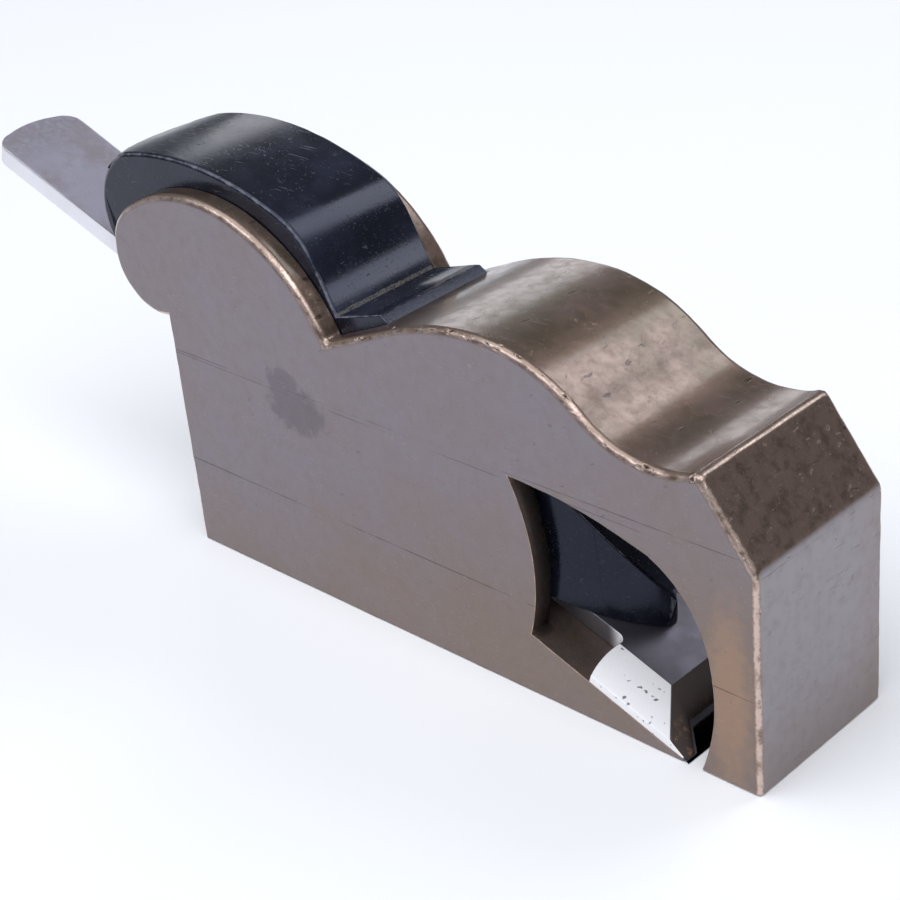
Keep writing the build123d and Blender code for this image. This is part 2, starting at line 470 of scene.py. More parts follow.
class SocketKind(Enum):
    """Kinds of node group socket."""

    NUMBER = "NodeSocketFloat"
    VECTOR = "NodeSocketVector"


@dataclass
class Effect:
    """A shader node group that several finishes share.

    Attributes:
        name: The group's name.
        inputs: Kind of each named input.
        outputs: Kind of each named output.
    """

    name: str
    inputs: dict[str, SocketKind]
    outputs: dict[str, SocketKind]
    tree: bpy.types.NodeTree = field(init=False)
    graph: Graph = field(init=False)

    def __post_init__(self) -> None:
        """Make the empty group and its sockets."""
        self.tree = bpy.data.node_groups.new(self.name, "ShaderNodeTree")
        self.graph = Graph(self.tree)
        for way, sockets in (("INPUT", self.inputs), ("OUTPUT", self.outputs)):
            for label, kind in sockets.items():
                self.tree.interface.new_socket(label, in_out=way, socket_type=kind.value)
        self.entry = self.tree.nodes.new("NodeGroupInput").outputs
        self.exit = self.tree.nodes.new("NodeGroupOutput").inputs


def edge_wear() -> bpy.types.NodeTree:
    """Wear on rounded edges: a level, broken up by noise into bare and covered places."""
    kinds = {"Place": SocketKind.VECTOR, "Level": SocketKind.NUMBER, "Grain": SocketKind.NUMBER}
    kinds |= {"Ragged": SocketKind.NUMBER}
    effect = Effect("Edge wear", kinds, {"Wear": SocketKind.NUMBER})
    g, given = effect.graph, effect.entry
    cloud = g.node(
        "TexNoise", {"Vector": given["Place"], "Scale": given["Grain"], "Detail": 4.0, "Roughness": 0.65}
    ).outputs["Fac"]
    shift = g.math("MULTIPLY", g.math("SUBTRACT", cloud, 0.5), given["Ragged"])
    g.feed(effect.exit["Wear"], g.ramp(g.math("ADD", given["Level"], shift), 0.3, 0.7))
    return effect.tree


def scratches() -> bpy.types.NodeTree:
    """Fine straight scratches in two directions, thinned by a coarse cloud."""
    kinds = {"Place": SocketKind.VECTOR, "Fineness": SocketKind.NUMBER, "Amount": SocketKind.NUMBER}
    effect = Effect("Scratches", kinds, {"Lines": SocketKind.NUMBER})
    g, given = effect.graph, effect.entry
    layers = []
    for turn, patch in ((4.0, 0.05), (-11.0, 0.11), (28.0, 0.08)):
        run = g.stretch(given["Place"], (0.035, 1.0, 1.0), (0, turn, turn * 2))
        lines = g.node("TexNoise", {"Vector": run, "Scale": given["Fineness"], "Detail": 2.0}).outputs["Fac"]
        thin = g.ramp(lines, 0.64, 0.72)
        shy = g.ramp(g.noise(g.stretch(given["Place"], (patch,) * 3, (0, turn, 40)), 3.0), 0.42, 0.62)
        layers.append(g.math("MULTIPLY", thin, shy))
    both = g.math("MAXIMUM", layers[0], g.math("MAXIMUM", layers[1], layers[2]))
    g.feed(effect.exit["Lines"], g.math("MULTIPLY", both, given["Amount"], clamp=True))
    return effect.tree


def dings() -> bpy.types.NodeTree:
    """Scattered small dents, longer than wide, as a mask."""
    kinds = {"Place": SocketKind.VECTOR, "Spacing": SocketKind.NUMBER, "Size": SocketKind.NUMBER}
    kinds |= {"Share": SocketKind.NUMBER}
    effect = Effect("Dings", kinds, {"Dents": SocketKind.NUMBER})
    g, given = effect.graph, effect.entry
    wobble = g.node("TexNoise", {"Vector": given["Place"], "Scale": 1.7, "Detail": 2.0}).outputs["Color"]
    drift = g.node("VectorMath", {0: wobble, 1: (0.9, 0.9, 0.9)}, operation="MULTIPLY").outputs[0]
    place = g.node("VectorMath", {0: given["Place"], 1: drift}, operation="ADD").outputs[0]
    pace = g.node("VectorMath", {0: place, "Scale": given["Spacing"]}, operation="SCALE").outputs[0]
    cells = g.node("TexVoronoi", {"Vector": pace, "Scale": 1.0, "Randomness": 1.0})
    red, green, _ = g.split(cells.outputs["Color"])
    size = g.math("MULTIPLY", given["Size"], g.math("ADD", green, 0.35))
    spot = g.ramp(cells.outputs["Distance"], size, g.math("MULTIPLY", size, 0.45))
    kept = g.math("LESS_THAN", red, given["Share"])
    g.feed(effect.exit["Dents"], g.math("MULTIPLY", spot, kept))
    return effect.tree


@dataclass
class Effects:
    """The shared node groups."""

    wear: bpy.types.NodeTree = field(default_factory=edge_wear)
    lines: bpy.types.NodeTree = field(default_factory=scratches)
    dents: bpy.types.NodeTree = field(default_factory=dings)


class Surface:
    """A new material with its shader, the place in millimetres and the way that the surface faces."""

    def __init__(self, name: str) -> None:
        """Make the material."""
        self.material = bpy.data.materials.new(name)
        self.material.use_nodes = True
        self.graph = Graph(self.material.node_tree)
        self.shader = self.material.node_tree.nodes["Principled BSDF"]
        g = self.graph
        spot = g.node("TexCoord").outputs["Object"]
        self.place = g.node("VectorMath", {0: spot, "Scale": 1 / MM}, operation="SCALE").outputs[0]
        self.x, self.y, self.z = g.split(self.place)
        self.facing = g.node("NewGeometry").outputs["Normal"]
        self.nx, self.ny, self.nz = g.split(self.facing)
        self.rim = g.node("Attribute", attribute_name=RIM).outputs["Fac"]

    def near(self, centre: tuple, size: tuple, soft: float = 0.5) -> bpy.types.NodeSocket:
        """1 inside a blob with a ragged rim, and 0 outside it.

        Args:
            centre: The blob's centre in millimetres.
            size: Its half-lengths along X, Y and Z.
            soft: The width of its rim, as a share of its size.

        Returns:
            The mask.
        """
        g = self.graph
        away = g.node("VectorMath", {0: self.place, 1: centre}, operation="SUBTRACT").outputs[0]
        unit = g.node("VectorMath", {0: away, 1: size}, operation="DIVIDE").outputs[0]
        reach = g.node("VectorMath", {0: unit}, operation="LENGTH").outputs["Value"]
        rag = g.math("MULTIPLY", g.math("SUBTRACT", g.noise(self.place, 0.7, 4.0), 0.5), 1.3)
        return g.ramp(g.math("ADD", reach, rag), 1 + soft / 2, 1 - soft / 2)

    def finish(self, colour: SocketValue, roughness: SocketValue, metallic: SocketValue) -> None:
        """Wire the three main values to the shader."""
        self.graph.feed(self.shader.inputs["Base Color"], colour)
        self.graph.feed(self.shader.inputs["Roughness"], roughness)
        self.graph.feed(self.shader.inputs["Metallic"], metallic)

    def relief(self, *layers: tuple[SocketValue, float]) -> None:
        """Stack bumps, each a height from 0 to 1 and its depth in millimetres."""
        g = self.graph
        below = None
        for height, depth in layers:
            inputs = {"Height": height, "Distance": abs(depth) * MM, "Strength": 1.0}
            bump = g.node("Bump", inputs, invert=depth < 0)
            if below is not None:
                g.feed(bump.inputs["Normal"], below)
            below = bump.outputs[0]
        g.feed(self.shader.inputs["Normal"], below)


# ---------------------------------------------------------------------------------------------- finishes


@dataclass(frozen=True)
class GunmetalFinish:
    """Old gunmetal: taupe filed sides, a toe face painted lighter grey as a reflection, a brown patina on top,
    bare pinkish metal on the rims.
    """

    side: Colour = (0.25, 0.221, 0.246)
    side_brown: Colour = (0.25, 0.196, 0.17)
    # Filed metal of the toe face, lighter and greyer than the sides: the extra lightness is a painted
    # reflection
    toe_face_and_sheen: Colour = (0.31, 0.284, 0.3)
    patina: Colour = (0.125, 0.089, 0.056)
    patina_red: Colour = (0.2, 0.132, 0.106)
    chamfer: Colour = (0.2, 0.138, 0.112)
    chamfer_dark: Colour = (0.125, 0.087, 0.065)
    bare: Colour = (0.66, 0.5, 0.43)
    rim_brown: Colour = (0.22, 0.158, 0.122)
    grime: Colour = (0.02, 0.014, 0.01)
    stain: Colour = (0.175, 0.152, 0.172)
    copper: Colour = (0.42, 0.27, 0.18)
    scratch: Colour = (0.46, 0.42, 0.4)
    scores: tuple[tuple[float, float, float], ...] = ((13.7, 0.004, 0.55), (32.0, -0.01, 0.4), (31.1, 0.0, 0.3))

    def build(self, effects: Effects) -> bpy.types.Material:
        """Make the material of the body's outside."""
        s = Surface("gunmetal")
        g = s.graph
        cloud = g.noise(s.place, 0.09, 4.0, 0.6)
        mottle = g.noise(s.place, 0.55, 5.0, 0.65)
        fine = g.noise(s.place, 3.2, 3.0, 0.6)
        sideways = g.math("ABSOLUTE", s.ny)
        is_side = g.ramp(sideways, 0.88, 0.97)
        is_toe = g.ramp(s.nx, 0.9, 0.98)
        is_chamfer = g.math("MULTIPLY", g.ramp(s.nx, 0.62, 0.72), g.ramp(s.nx, 0.97, 0.9))
        lines = g.group(effects.lines, place=s.place, fineness=5.0, amount=1.0).outputs[0]
        strokes = [
            g.group(effects.dents, place=g.stretch(s.place, (1.0, 0.3, 1.0), turn), spacing=spacing,
                    size=0.23, share=0.4).outputs[0]
            for turn, spacing in (((0, 0, 8), 0.8), ((0, 15, -28), 1.1))
        ]
        dents = g.math("MAXIMUM", strokes[0], strokes[1])
        nips = g.group(effects.dents, place=g.stretch(s.place, (0.4, 1.0, 1.0), (0, 35, 0)),
                       spacing=0.6, size=0.12, share=0.3).outputs[0]
        scores = g.group(effects.dents, place=g.stretch(s.place, (1.0, 1.0, 0.3), (25, -40, 0)),
                         spacing=0.75, size=0.12, share=0.25).outputs[0]
        specks = g.math("MAXIMUM", nips, scores)
        outer = g.math("MAXIMUM", g.ramp(sideways, 0.55, 0.85), g.ramp(s.nx, 0.3, 0.62))
        level = g.math("MULTIPLY", s.rim, g.math("MULTIPLY_ADD", outer, 0.5, 0.3))
        wear = g.group(effects.wear, place=s.place, level=level, grain=1.1, ragged=1.0).outputs[0]

        low = g.ramp(g.math("MULTIPLY_ADD", s.x, -0.35, s.z), 34.0, 0.0)
        share = g.math("MULTIPLY_ADD", g.ramp(cloud, 0.35, 0.68), 0.3, g.math("MULTIPLY", low, 0.75))
        side = g.mix(share, self.side, self.side_brown)
        side = g.mix(g.math("MULTIPLY", g.ramp(mottle, 0.45, 0.75), 0.25), side, self.side_brown)
        stained = g.math("MAXIMUM", s.near((-25.2, -12.7, 29.0), (5.2, 6.0, 3.4)),
                         s.near((-27.6, -12.7, 32.3), (3.0, 6.0, 2.6)))
        side = g.mix(g.math("MULTIPLY", stained, 0.85), side, self.stain)
        copper = s.near((46.5, -12.7, 12.5), (2.8, 5.0, 11.0), 1.2)
        side = g.mix(g.math("MULTIPLY", copper, 0.65), side, self.copper)
        side = g.mix(g.math("MULTIPLY", lines, 0.3), side, self.scratch)
        for height, slope, strength in self.scores:
            drift = g.math("MULTIPLY_ADD", s.x, slope, s.z)
            away = g.math("ABSOLUTE", g.math("SUBTRACT", drift, height))
            broken = g.ramp(g.noise(g.stretch(s.place, (0.12, 1, 1)), 1.0), 0.42, 0.6)
            score = g.math("MULTIPLY", g.ramp(away, 0.13, 0.04), g.math("MULTIPLY", broken, strength))
            side = g.mix(score, side, self.grime)
        side = g.mix(g.math("MULTIPLY", specks, 0.45), side, self.stain)

        top = g.mix(g.ramp(cloud, 0.38, 0.62), self.patina, self.patina_red)
        top = g.mix(g.math("MULTIPLY", g.ramp(mottle, 0.45, 0.75), 0.5), top, self.patina_red)
        chamfer = g.mix(g.ramp(mottle, 0.42, 0.66), self.chamfer, self.chamfer_dark)
        top = g.mix(is_chamfer, top, chamfer)
        top = g.mix(g.math("MULTIPLY", lines, 0.2), top, self.bare)
        top = g.mix(g.math("MULTIPLY", strokes[0], 0.6), top, self.grime)
        top = g.mix(g.math("MULTIPLY", strokes[1], 0.14), top, self.bare)

        # Painted reflection: the toe face takes a lighter grey; it turns browner towards the bottom and the far
        # edge
        toe_low = g.math("MULTIPLY_ADD", g.ramp(s.z, 14.0, 0.0), 0.45, g.ramp(s.y, 4.0, 13.0, 0.0, 0.3))
        toe = g.mix(toe_low, self.toe_face_and_sheen, self.side_brown)
        toe = g.mix(g.math("MULTIPLY", g.ramp(mottle, 0.45, 0.75), 0.3), toe, self.side_brown)
        toe = g.mix(g.math("MULTIPLY", specks, 0.5), toe, self.stain)

        colour = g.mix(is_side, top, side)
        colour = g.mix(is_toe, colour, toe)
        colour = g.mix(g.math("MULTIPLY", s.rim, 0.75), colour, self.rim_brown)
        bare = g.mix(g.ramp(mottle, 0.44, 0.66), self.bare, self.rim_brown)
        colour = g.mix(g.math("MULTIPLY", wear, 0.9), colour, bare)

        plain = g.math("MAXIMUM", is_side, is_toe)
        rough = g.blend(plain, g.ramp(mottle, 0.3, 0.75, 0.3, 0.44), g.ramp(mottle, 0.3, 0.75, 0.38, 0.48))
        rough = g.blend(is_chamfer, rough, 0.42)
        rough = g.blend(g.math("MULTIPLY", s.rim, 0.7), rough, g.ramp(fine, 0.3, 0.7, 0.24, 0.42))
        metal = g.blend(g.math("MAXIMUM", plain, wear), 0.75, 0.92)
        polish = g.math("MULTIPLY", g.math("SUBTRACT", 1.0, plain), g.ramp(mottle, 0.75, 0.35, 0.5, 1.0))
        g.feed(s.shader.inputs["Coat Weight"], g.math("MULTIPLY", polish, g.blend(is_chamfer, 1.0, 0.3)))
        s.shader.inputs["Coat Roughness"].default_value = 0.15
        s.finish(colour, rough, metal)
        flat_dents = g.math("MULTIPLY", dents, g.math("SUBTRACT", 1.0, is_side))
        s.relief((fine, 0.008), (mottle, 0.035), (lines, -0.012), (flat_dents, -0.05),
                 (g.math("MULTIPLY", specks, plain), -0.04))
        return s.material


@dataclass(frozen=True)
class CastingFinish:
    """The casting's inner walls: dark, dull and dirty, brown where light catches them."""

    dark: Colour = (0.14, 0.108, 0.095)
    brown: Colour = (0.13, 0.086, 0.055)
    bare: Colour = (0.5, 0.36, 0.25)

    def build(self, effects: Effects) -> bpy.types.Material:
        """Make the material of the slot and the openings."""
        s = Surface("gunmetal_casting")
        g = s.graph
        mottle = g.noise(s.place, 0.8, 5.0, 0.7)
        fine = g.noise(s.place, 3.5, 4.0)
        level = g.math("MULTIPLY", s.rim, 0.75)
        wear = g.group(effects.wear, place=s.place, level=level, grain=1.1, ragged=0.7)
        colour = g.mix(g.ramp(mottle, 0.45, 0.72), self.dark, self.brown)
        high = g.ramp(s.z, 37.0, 41.0)
        colour = g.mix(g.math("MULTIPLY", high, 0.7), colour, (0.16, 0.1, 0.045))
        colour = g.mix(g.math("MULTIPLY", wear.outputs[0], 0.7), colour, self.bare)
        s.finish(colour, g.ramp(mottle, 0.3, 0.7, 0.36, 0.6), 0.7)
        s.relief((fine, 0.03), (mottle, 0.08))
        return s.material


@dataclass(frozen=True)
class SteelFinish:
    """Old tool steel: a grey tang with brown stains, side bevels painted near white as a highlight, and a rusty
    cutting bevel.
    """

    grey: Colour = (0.47, 0.46, 0.56)
    stain: Colour = (0.36, 0.33, 0.37)
    # Bare steel of scratches and worn edges, and also the painted highlight on the side bevels
    bare_steel_and_highlight: Colour = (0.95, 0.95, 0.98)
    dark: Colour = (0.065, 0.052, 0.046)
    rust: Colour = (0.26, 0.13, 0.065)

    def build(self, effects: Effects) -> bpy.types.Material:
        """Make the material of the iron."""
        s = Surface("tool_steel")
        g = s.graph
        cloud = g.noise(s.place, 0.14, 4.0, 0.65)
        mottle = g.noise(s.place, 1.1, 4.0, 0.7)
        fine = g.noise(s.place, 5.0, 3.0)
        sideways = g.math("ABSOLUTE", s.ny)
        is_bevel = g.math("MULTIPLY", g.ramp(sideways, 0.14, 0.22), g.ramp(s.x, 22.0, 24.0))
        is_cut = g.ramp(s.nx, 0.48, 0.58)
        pits = g.group(effects.dents, place=s.place, spacing=1.2, size=0.3, share=0.4).outputs[0]
        lines = g.group(effects.lines, place=s.place, fineness=6.0, amount=1.0).outputs[0]
        level = g.math("MULTIPLY", s.rim, 0.8)
        wear = g.group(effects.wear, place=s.place, level=level, grain=1.0, ragged=0.6)

        colour = g.mix(g.ramp(cloud, 0.42, 0.66), self.grey, self.stain)
        tail = g.ramp(s.x, -86.0, -93.0)
        stained = g.math("MULTIPLY", tail, g.ramp(mottle, 0.35, 0.6))
        colour = g.mix(g.math("MULTIPLY", stained, 0.8), colour, self.stain)
        colour = g.mix(g.math("MULTIPLY", lines, 0.25), colour, self.bare_steel_and_highlight)
        colour = g.mix(g.math("MULTIPLY", wear.outputs[0], 0.75), colour, self.bare_steel_and_highlight)
        # Painted highlight: the side bevels are painted near white and made almost non-metallic, standing in
        # for the light they reflect; the dark spots in them are real pits
        bevel = g.mix(g.math("MULTIPLY", pits, 0.85), self.bare_steel_and_highlight, self.dark)
        colour = g.mix(is_bevel, colour, bevel)
        cut = g.mix(g.ramp(mottle, 0.5, 0.68), self.dark, self.rust)
        cut = g.mix(g.ramp(s.z, 4.0, 1.5), self.dark, cut)
        colour = g.mix(is_cut, colour, cut)
        # Partly real patina, partly painted shade and painted reflection: from x 12 to 16 mm onwards the
        # blade's flat is darkened like the shadow and dark reflection of the wedge nose and the walls above it;
        # the bevels are left out
        inner = g.ramp(s.x, 12.0, 16.0)
        colour = g.mix(g.math("MULTIPLY", inner, g.blend(g.math("MAXIMUM", is_bevel, is_cut), 0.8, 0.0)),
                       colour, (0.13, 0.125, 0.15))
        rough = g.ramp(cloud, 0.3, 0.7, 0.42, 0.52)
        rough = g.blend(is_bevel, rough, g.ramp(mottle, 0.3, 0.7, 0.36, 0.46))
        rough = g.blend(is_cut, rough, 0.75)
        metal = g.blend(is_bevel, g.blend(inner, 0.75, 0.9), 0.1)
        s.finish(colour, rough, g.blend(is_cut, metal, 0.1))
        s.relief((fine, 0.008), (mottle, 0.02), (lines, -0.008), (g.math("MULTIPLY", pits, is_bevel), -0.08))
        return s.material


@dataclass(frozen=True)
class EbonyFinish:
    """Polished ebony, scuffed grey on its edges and lightly scratched, with a painted bluish reflection in its
    colour and its gloss.
    """

    black: Colour = (0.006, 0.007, 0.013)
    # Bluish black tone; its bluish cast, like that of the black, is a painted reflection of bluish surroundings
    blue_tone_and_sheen: Colour = (0.013, 0.015, 0.028)
    worn: Colour = (0.2, 0.205, 0.235)
    dust: Colour = (0.3, 0.28, 0.24)

    def build(self, effects: Effects) -> bpy.types.Material:
        """Make the material of the wedge."""
        s = Surface("ebony")
        g = s.graph
        cloud = g.noise(s.place, 0.12, 4.0, 0.6)
        grain = g.noise(g.stretch(s.place, (0.06, 1.0, 1.0), (0, 20, 0)), 2.6, 4.0, 0.6)
        fine = g.noise(s.place, 4.0, 3.0)
        level = g.math("MULTIPLY", s.rim, 0.55)
        wear = g.group(effects.wear, place=s.place, level=level, grain=0.7, ragged=0.9)
        lines = g.group(effects.lines, place=s.place, fineness=3.6, amount=1.0).outputs[0]
        scuffs = g.group(effects.dents, place=g.stretch(s.place, (0.6, 1, 1), (0, 30, 20)),
                         spacing=0.8, size=0.2, share=0.35).outputs[0]
        # Painted reflection: both base colours carry the bluish cast of the surroundings; the cloud between
        # them is real tone
        colour = g.mix(g.ramp(cloud, 0.4, 0.7), self.black, self.blue_tone_and_sheen)
        colour = g.mix(g.math("MULTIPLY", wear.outputs[0], 0.75), colour, self.worn)
        colour = g.mix(g.math("MULTIPLY", lines, 0.22), colour, self.worn)
        colour = g.mix(g.math("MULTIPLY", scuffs, 0.15), colour, self.worn)
        valley = s.near((-18.6, 0.0, 43.7), (0.35, 14.0, 0.3), 0.5)
        colour = g.mix(g.math("MULTIPLY", valley, g.ramp(fine, 0.35, 0.6, 0.05, 0.35)), colour, self.dust)
        rough = g.ramp(cloud, 0.3, 0.75, 0.14, 0.24)
        rough = g.blend(g.math("MAXIMUM", wear.outputs[0], scuffs), rough, 0.5)
        s.finish(colour, rough, 0.0)
        s.shader.inputs["Specular IOR Level"].default_value = 0.4
        # Painted reflection: the gloss is tinted bluish like the surroundings
        s.shader.inputs["Specular Tint"].default_value = (0.7, 0.76, 1.0, 1.0)
        s.relief((grain, 0.008), (fine, 0.006), (lines, -0.012), (scuffs, -0.02))
        return s.material


# ------------------------------------------------------------------------------------------------ pieces


@dataclass(frozen=True)
class Setting:
    """What the pieces share: the body's extents and the bed, as the frame gives them.

    Attributes:
        toe: The toe's X, in millimetres. The heel's is its opposite.
        half_width: Half the body's width.
        bed_angle: The bed's slope in degrees.
        edge_back: From the toe back to the cutting edge.
        wall: The cheeks' thickness.
        bridge_back: From the toe back to the bridge's rear edge.
        bridge_height: The height of that edge.
        slot_taper: The angle between the slot's ceiling and the bed.
        iron_thickness: The iron's thickness.
    """

    toe: float
    half_width: float
    bed_angle: float
    edge_back: float = 10.8
    wall: float = 3.175
    bridge_back: float = 58.5
    bridge_height: float = 44.7
    slot_taper: float = 9.0
    iron_thickness: float = 2.88

    @property
    def heel(self) -> float:
        """The heel's X."""
        return -self.toe

    @property
    def half_slot(self) -> float:
        """Half the slot's width."""
        return self.half_width - self.wall

    @property
    def edge_x(self) -> float:
        """The cutting edge's X."""
        return self.toe - self.edge_back

    @property
    def bridge_x(self) -> float:
        """X of the bridge's rear edge."""
        return self.toe - self.bridge_back

    def bed(self, x: float) -> Point:
        """The bed's point at x."""
        return (x, (self.edge_x - x) * math.tan(math.radians(self.bed_angle)))

    def seat(self, x: float, clearance: float = 0.02) -> Point:
        """The wedge's underside at x, just off the iron."""
        rise = self.iron_thickness / math.cos(math.radians(self.bed_angle))
        return (x, self.bed(x)[1] + rise + clearance)

    def ceiling(self, x: float, clearance: float = 0.0) -> Point:
        """The slot's ceiling at x, or a clearance below it."""
        slope = math.tan(math.radians(self.bed_angle + self.slot_taper))
        return (x, self.bridge_height + (self.bridge_x - x) * slope - clearance)

    def from_toe(self, place: Point) -> Point:
        """Turn (back from the toe, up) into a point."""
        return (self.toe - place[0], place[1])


@dataclass
class PlaneBody:
    """The one-piece gunmetal casting."""

    setting: Setting
    toe_height: float = 31.1
    crown_back: float = 40.8
    crown_height: float = 49.7
    crown_radius: float = 24.0
    crown_sweep: float = 40.0
    hollow_radius: float = 16.5
    hollow_sweep: float = 64.4
    tail_radius: float = 40.0
    tail_slope: float = 23.5
    scroll_radius: float = 26.9
    scroll_in: float = 8.8
    scroll_drop: float = 3.8
    scroll_lean: float = 125.3
    knuckle_radius: float = 8.3
    bed_lip_back: float = 11.6
    mouth_front_back: float = 8.8
    opening_tip: Point = (37.5, 31.7)
    opening_rear: Point = (34.2, 19.0)
    opening_heel_back: float = 35.6
    opening_top: Point = (25.0, 30.5)
    opening_shoulder: tuple[Point, ...] = ((15.8, 28.1), (10.6, 24.1), (7.8, 19.0))
    opening_front: Point = (6.6, 11.0)
    crest_round: float = 1.1
    toe_round: float = 0.9
    cross_round: float = 0.9
    heel_round: float = 0.6
    sole_round: float = 0.3
    lip_round: float = 0.1
    cut_round: float = 0.12
    nick_count: int = 34

    def outline(self) -> Outline:
        """Draw the side view, from the heel along the sole to the toe and back over the top."""
        at = self.setting
        crown_x = at.toe - self.crown_back
        crown_centre = (crown_x, self.crown_height - self.crown_radius)
        turn = 90 - self.crown_sweep
        hollow_centre = on_circle(crown_centre, self.crown_radius + self.hollow_radius, turn)
        tip = on_circle(hollow_centre, self.hollow_radius, turn - 180 + self.hollow_sweep)
        tail_centre = (crown_x, self.crown_height - self.tail_radius)
        tail_end = on_circle(tail_centre, self.tail_radius, 90 + self.tail_slope)
        slope = math.radians(self.tail_slope)
        tail_way = Vector((-math.cos(slope), -math.sin(slope)))
        scroll_centre = (at.heel + self.scroll_in, at.bed(at.heel)[1] - self.scroll_drop)
        cusp = line_meets_circle(tail_end, tail_way, scroll_centre, self.scroll_radius, -1)
        cusp_angle = math.degrees(math.atan2(cusp[1] - scroll_centre[1], cusp[0] - scroll_centre[0]))
        inset = self.scroll_radius - self.knuckle_radius
        knuckle_centre = on_circle(scroll_centre, inset, self.scroll_lean)
        knuckle_end = 360 - math.degrees(math.acos((at.heel - knuckle_centre[0]) / self.knuckle_radius))
        line = Outline((at.heel, 0)).line((at.toe, 0), step=3.0)
        line.line((at.toe, self.toe_height), tip, step=1.0)
        line.arc(hollow_centre, -self.hollow_sweep).arc(crown_centre, self.crown_sweep)
        line.arc(tail_centre, self.tail_slope).line(cusp, step=1.0)
        line.arc(scroll_centre, self.scroll_lean - cusp_angle)
        line.arc(knuckle_centre, knuckle_end - self.scroll_lean)
        return line

    def slot(self) -> bpy.types.Object:
        """The cutter of the slot between the cheeks."""
        at = self.setting
        front, rear = at.toe - self.opening_top[0], 2 * at.heel
        line = Outline(at.bed(front)).line(at.bed(rear), at.ceiling(rear), at.ceiling(front))
        return as_object("slot", line.prism(-at.half_slot, at.half_slot))

    def opening(self) -> bpy.types.Object:
        """The cutter of the side openings and the mouth."""
        at = self.setting
        shoulder = [at.from_toe(place) for place in self.opening_shoulder]
        lip_x = at.toe - self.bed_lip_back
        line = Outline(at.bed(at.toe - self.opening_heel_back))
        line.arc_through(at.from_toe(self.opening_rear), at.from_toe(self.opening_tip))
        line.arc_through(at.from_toe(self.opening_top), shoulder[0])
        line.arc_through(shoulder[1], shoulder[2])
        line.arc_through(at.from_toe(self.opening_front), (at.toe - self.mouth_front_back, 0))
        line.line((at.toe - self.mouth_front_back, -1), (lip_x, -1), at.bed(lip_x))
        return as_object("opening", line.prism(-2 * at.half_width, 2 * at.half_width))

    def edge_width(self, edge: bmesh.types.BMEdge) -> float:
        """How far one edge is worn round, in millimetres."""
        at = self.setting
        middle = (edge.verts[0].co + edge.verts[1].co) / 2 / MM
        along = (edge.verts[1].co - edge.verts[0].co).normalized()
        cut_faces = sum(face.material_index for face in edge.link_faces)
        outside = abs(abs(middle.y) - at.half_width) < 0.01
        if cut_faces:
            return 0.0 if cut_faces == 2 else self.cut_round
        if outside:
            if middle.z < 0.01:
                return self.lip_round if middle.x < at.edge_x else self.sole_round
            if middle.x > at.toe - 0.01:
                return self.toe_round
            upright = abs(middle.x - at.heel) < 0.01 and abs(along.z) > 0.99
            return self.heel_round if upright else self.crest_round
        if abs(along.y) > 0.99 and middle.z > 1:
            return self.cross_round
        return self.sole_round

    def damage(self, rim: Sequence[Vector], dice: random.Random) -> list[Nick]:
        """Pick small bites along the rims of the top and the toe.

        Args:
            rim: The outline's points, in millimetres.
            dice: The seeded source of the places.

        Returns:
            The nicks.
        """
        at = self.setting
        found = []
        high = [p for p in rim if p.z > self.toe_height - 18 and p.x > at.bridge_x - 8]
        for _ in range(self.nick_count):
            spot = dice.choice(high)
            side = dice.choice((-1, -1, 1))
            size = dice.uniform(0.08, 0.2)
            inward = dice.uniform(0.1, 0.75)
            place = (spot.x, side * (at.half_width - inward), spot.z - 0.75 + inward + size * 0.45)
            found.append(Nick(place, (size * dice.uniform(1.2, 3.4), size, size * 0.8)))
        return found

    def build(self, outside: bpy.types.Material, inside: bpy.types.Material) -> bpy.types.Object:
        """Model the body.

        Args:
            outside: The finish of the outer faces.
            inside: The finish of the slot and the openings.

        Returns:
            The finished piece.
        """
        at = self.setting
        line = self.outline()
        rim = [vert.co / MM for vert in line.mesh.verts]
        body = as_object("plane_body", line.prism(-at.half_width, at.half_width))
        tools = (self.slot(), self.opening())
        for made in (body, *tools):
            made.data.materials.append(outside)
            made.data.materials.append(inside)
        for tool in tools:
            set_material_index(tool, 1)
            combine(body, tool)
        tidy_mesh(body, 0.02)
        split_cross_edges(body, 20.0, 17)
        round_edges(body, self.edge_width, 1.2, 5)
        dice = random.Random(7)
        bites = nick_tool("bites", self.damage(rim, dice), dice)
        combine(body, bites, solver="MANIFOLD")
        wear_rims(body, 0.09)
        smooth_shading(body)
        return body


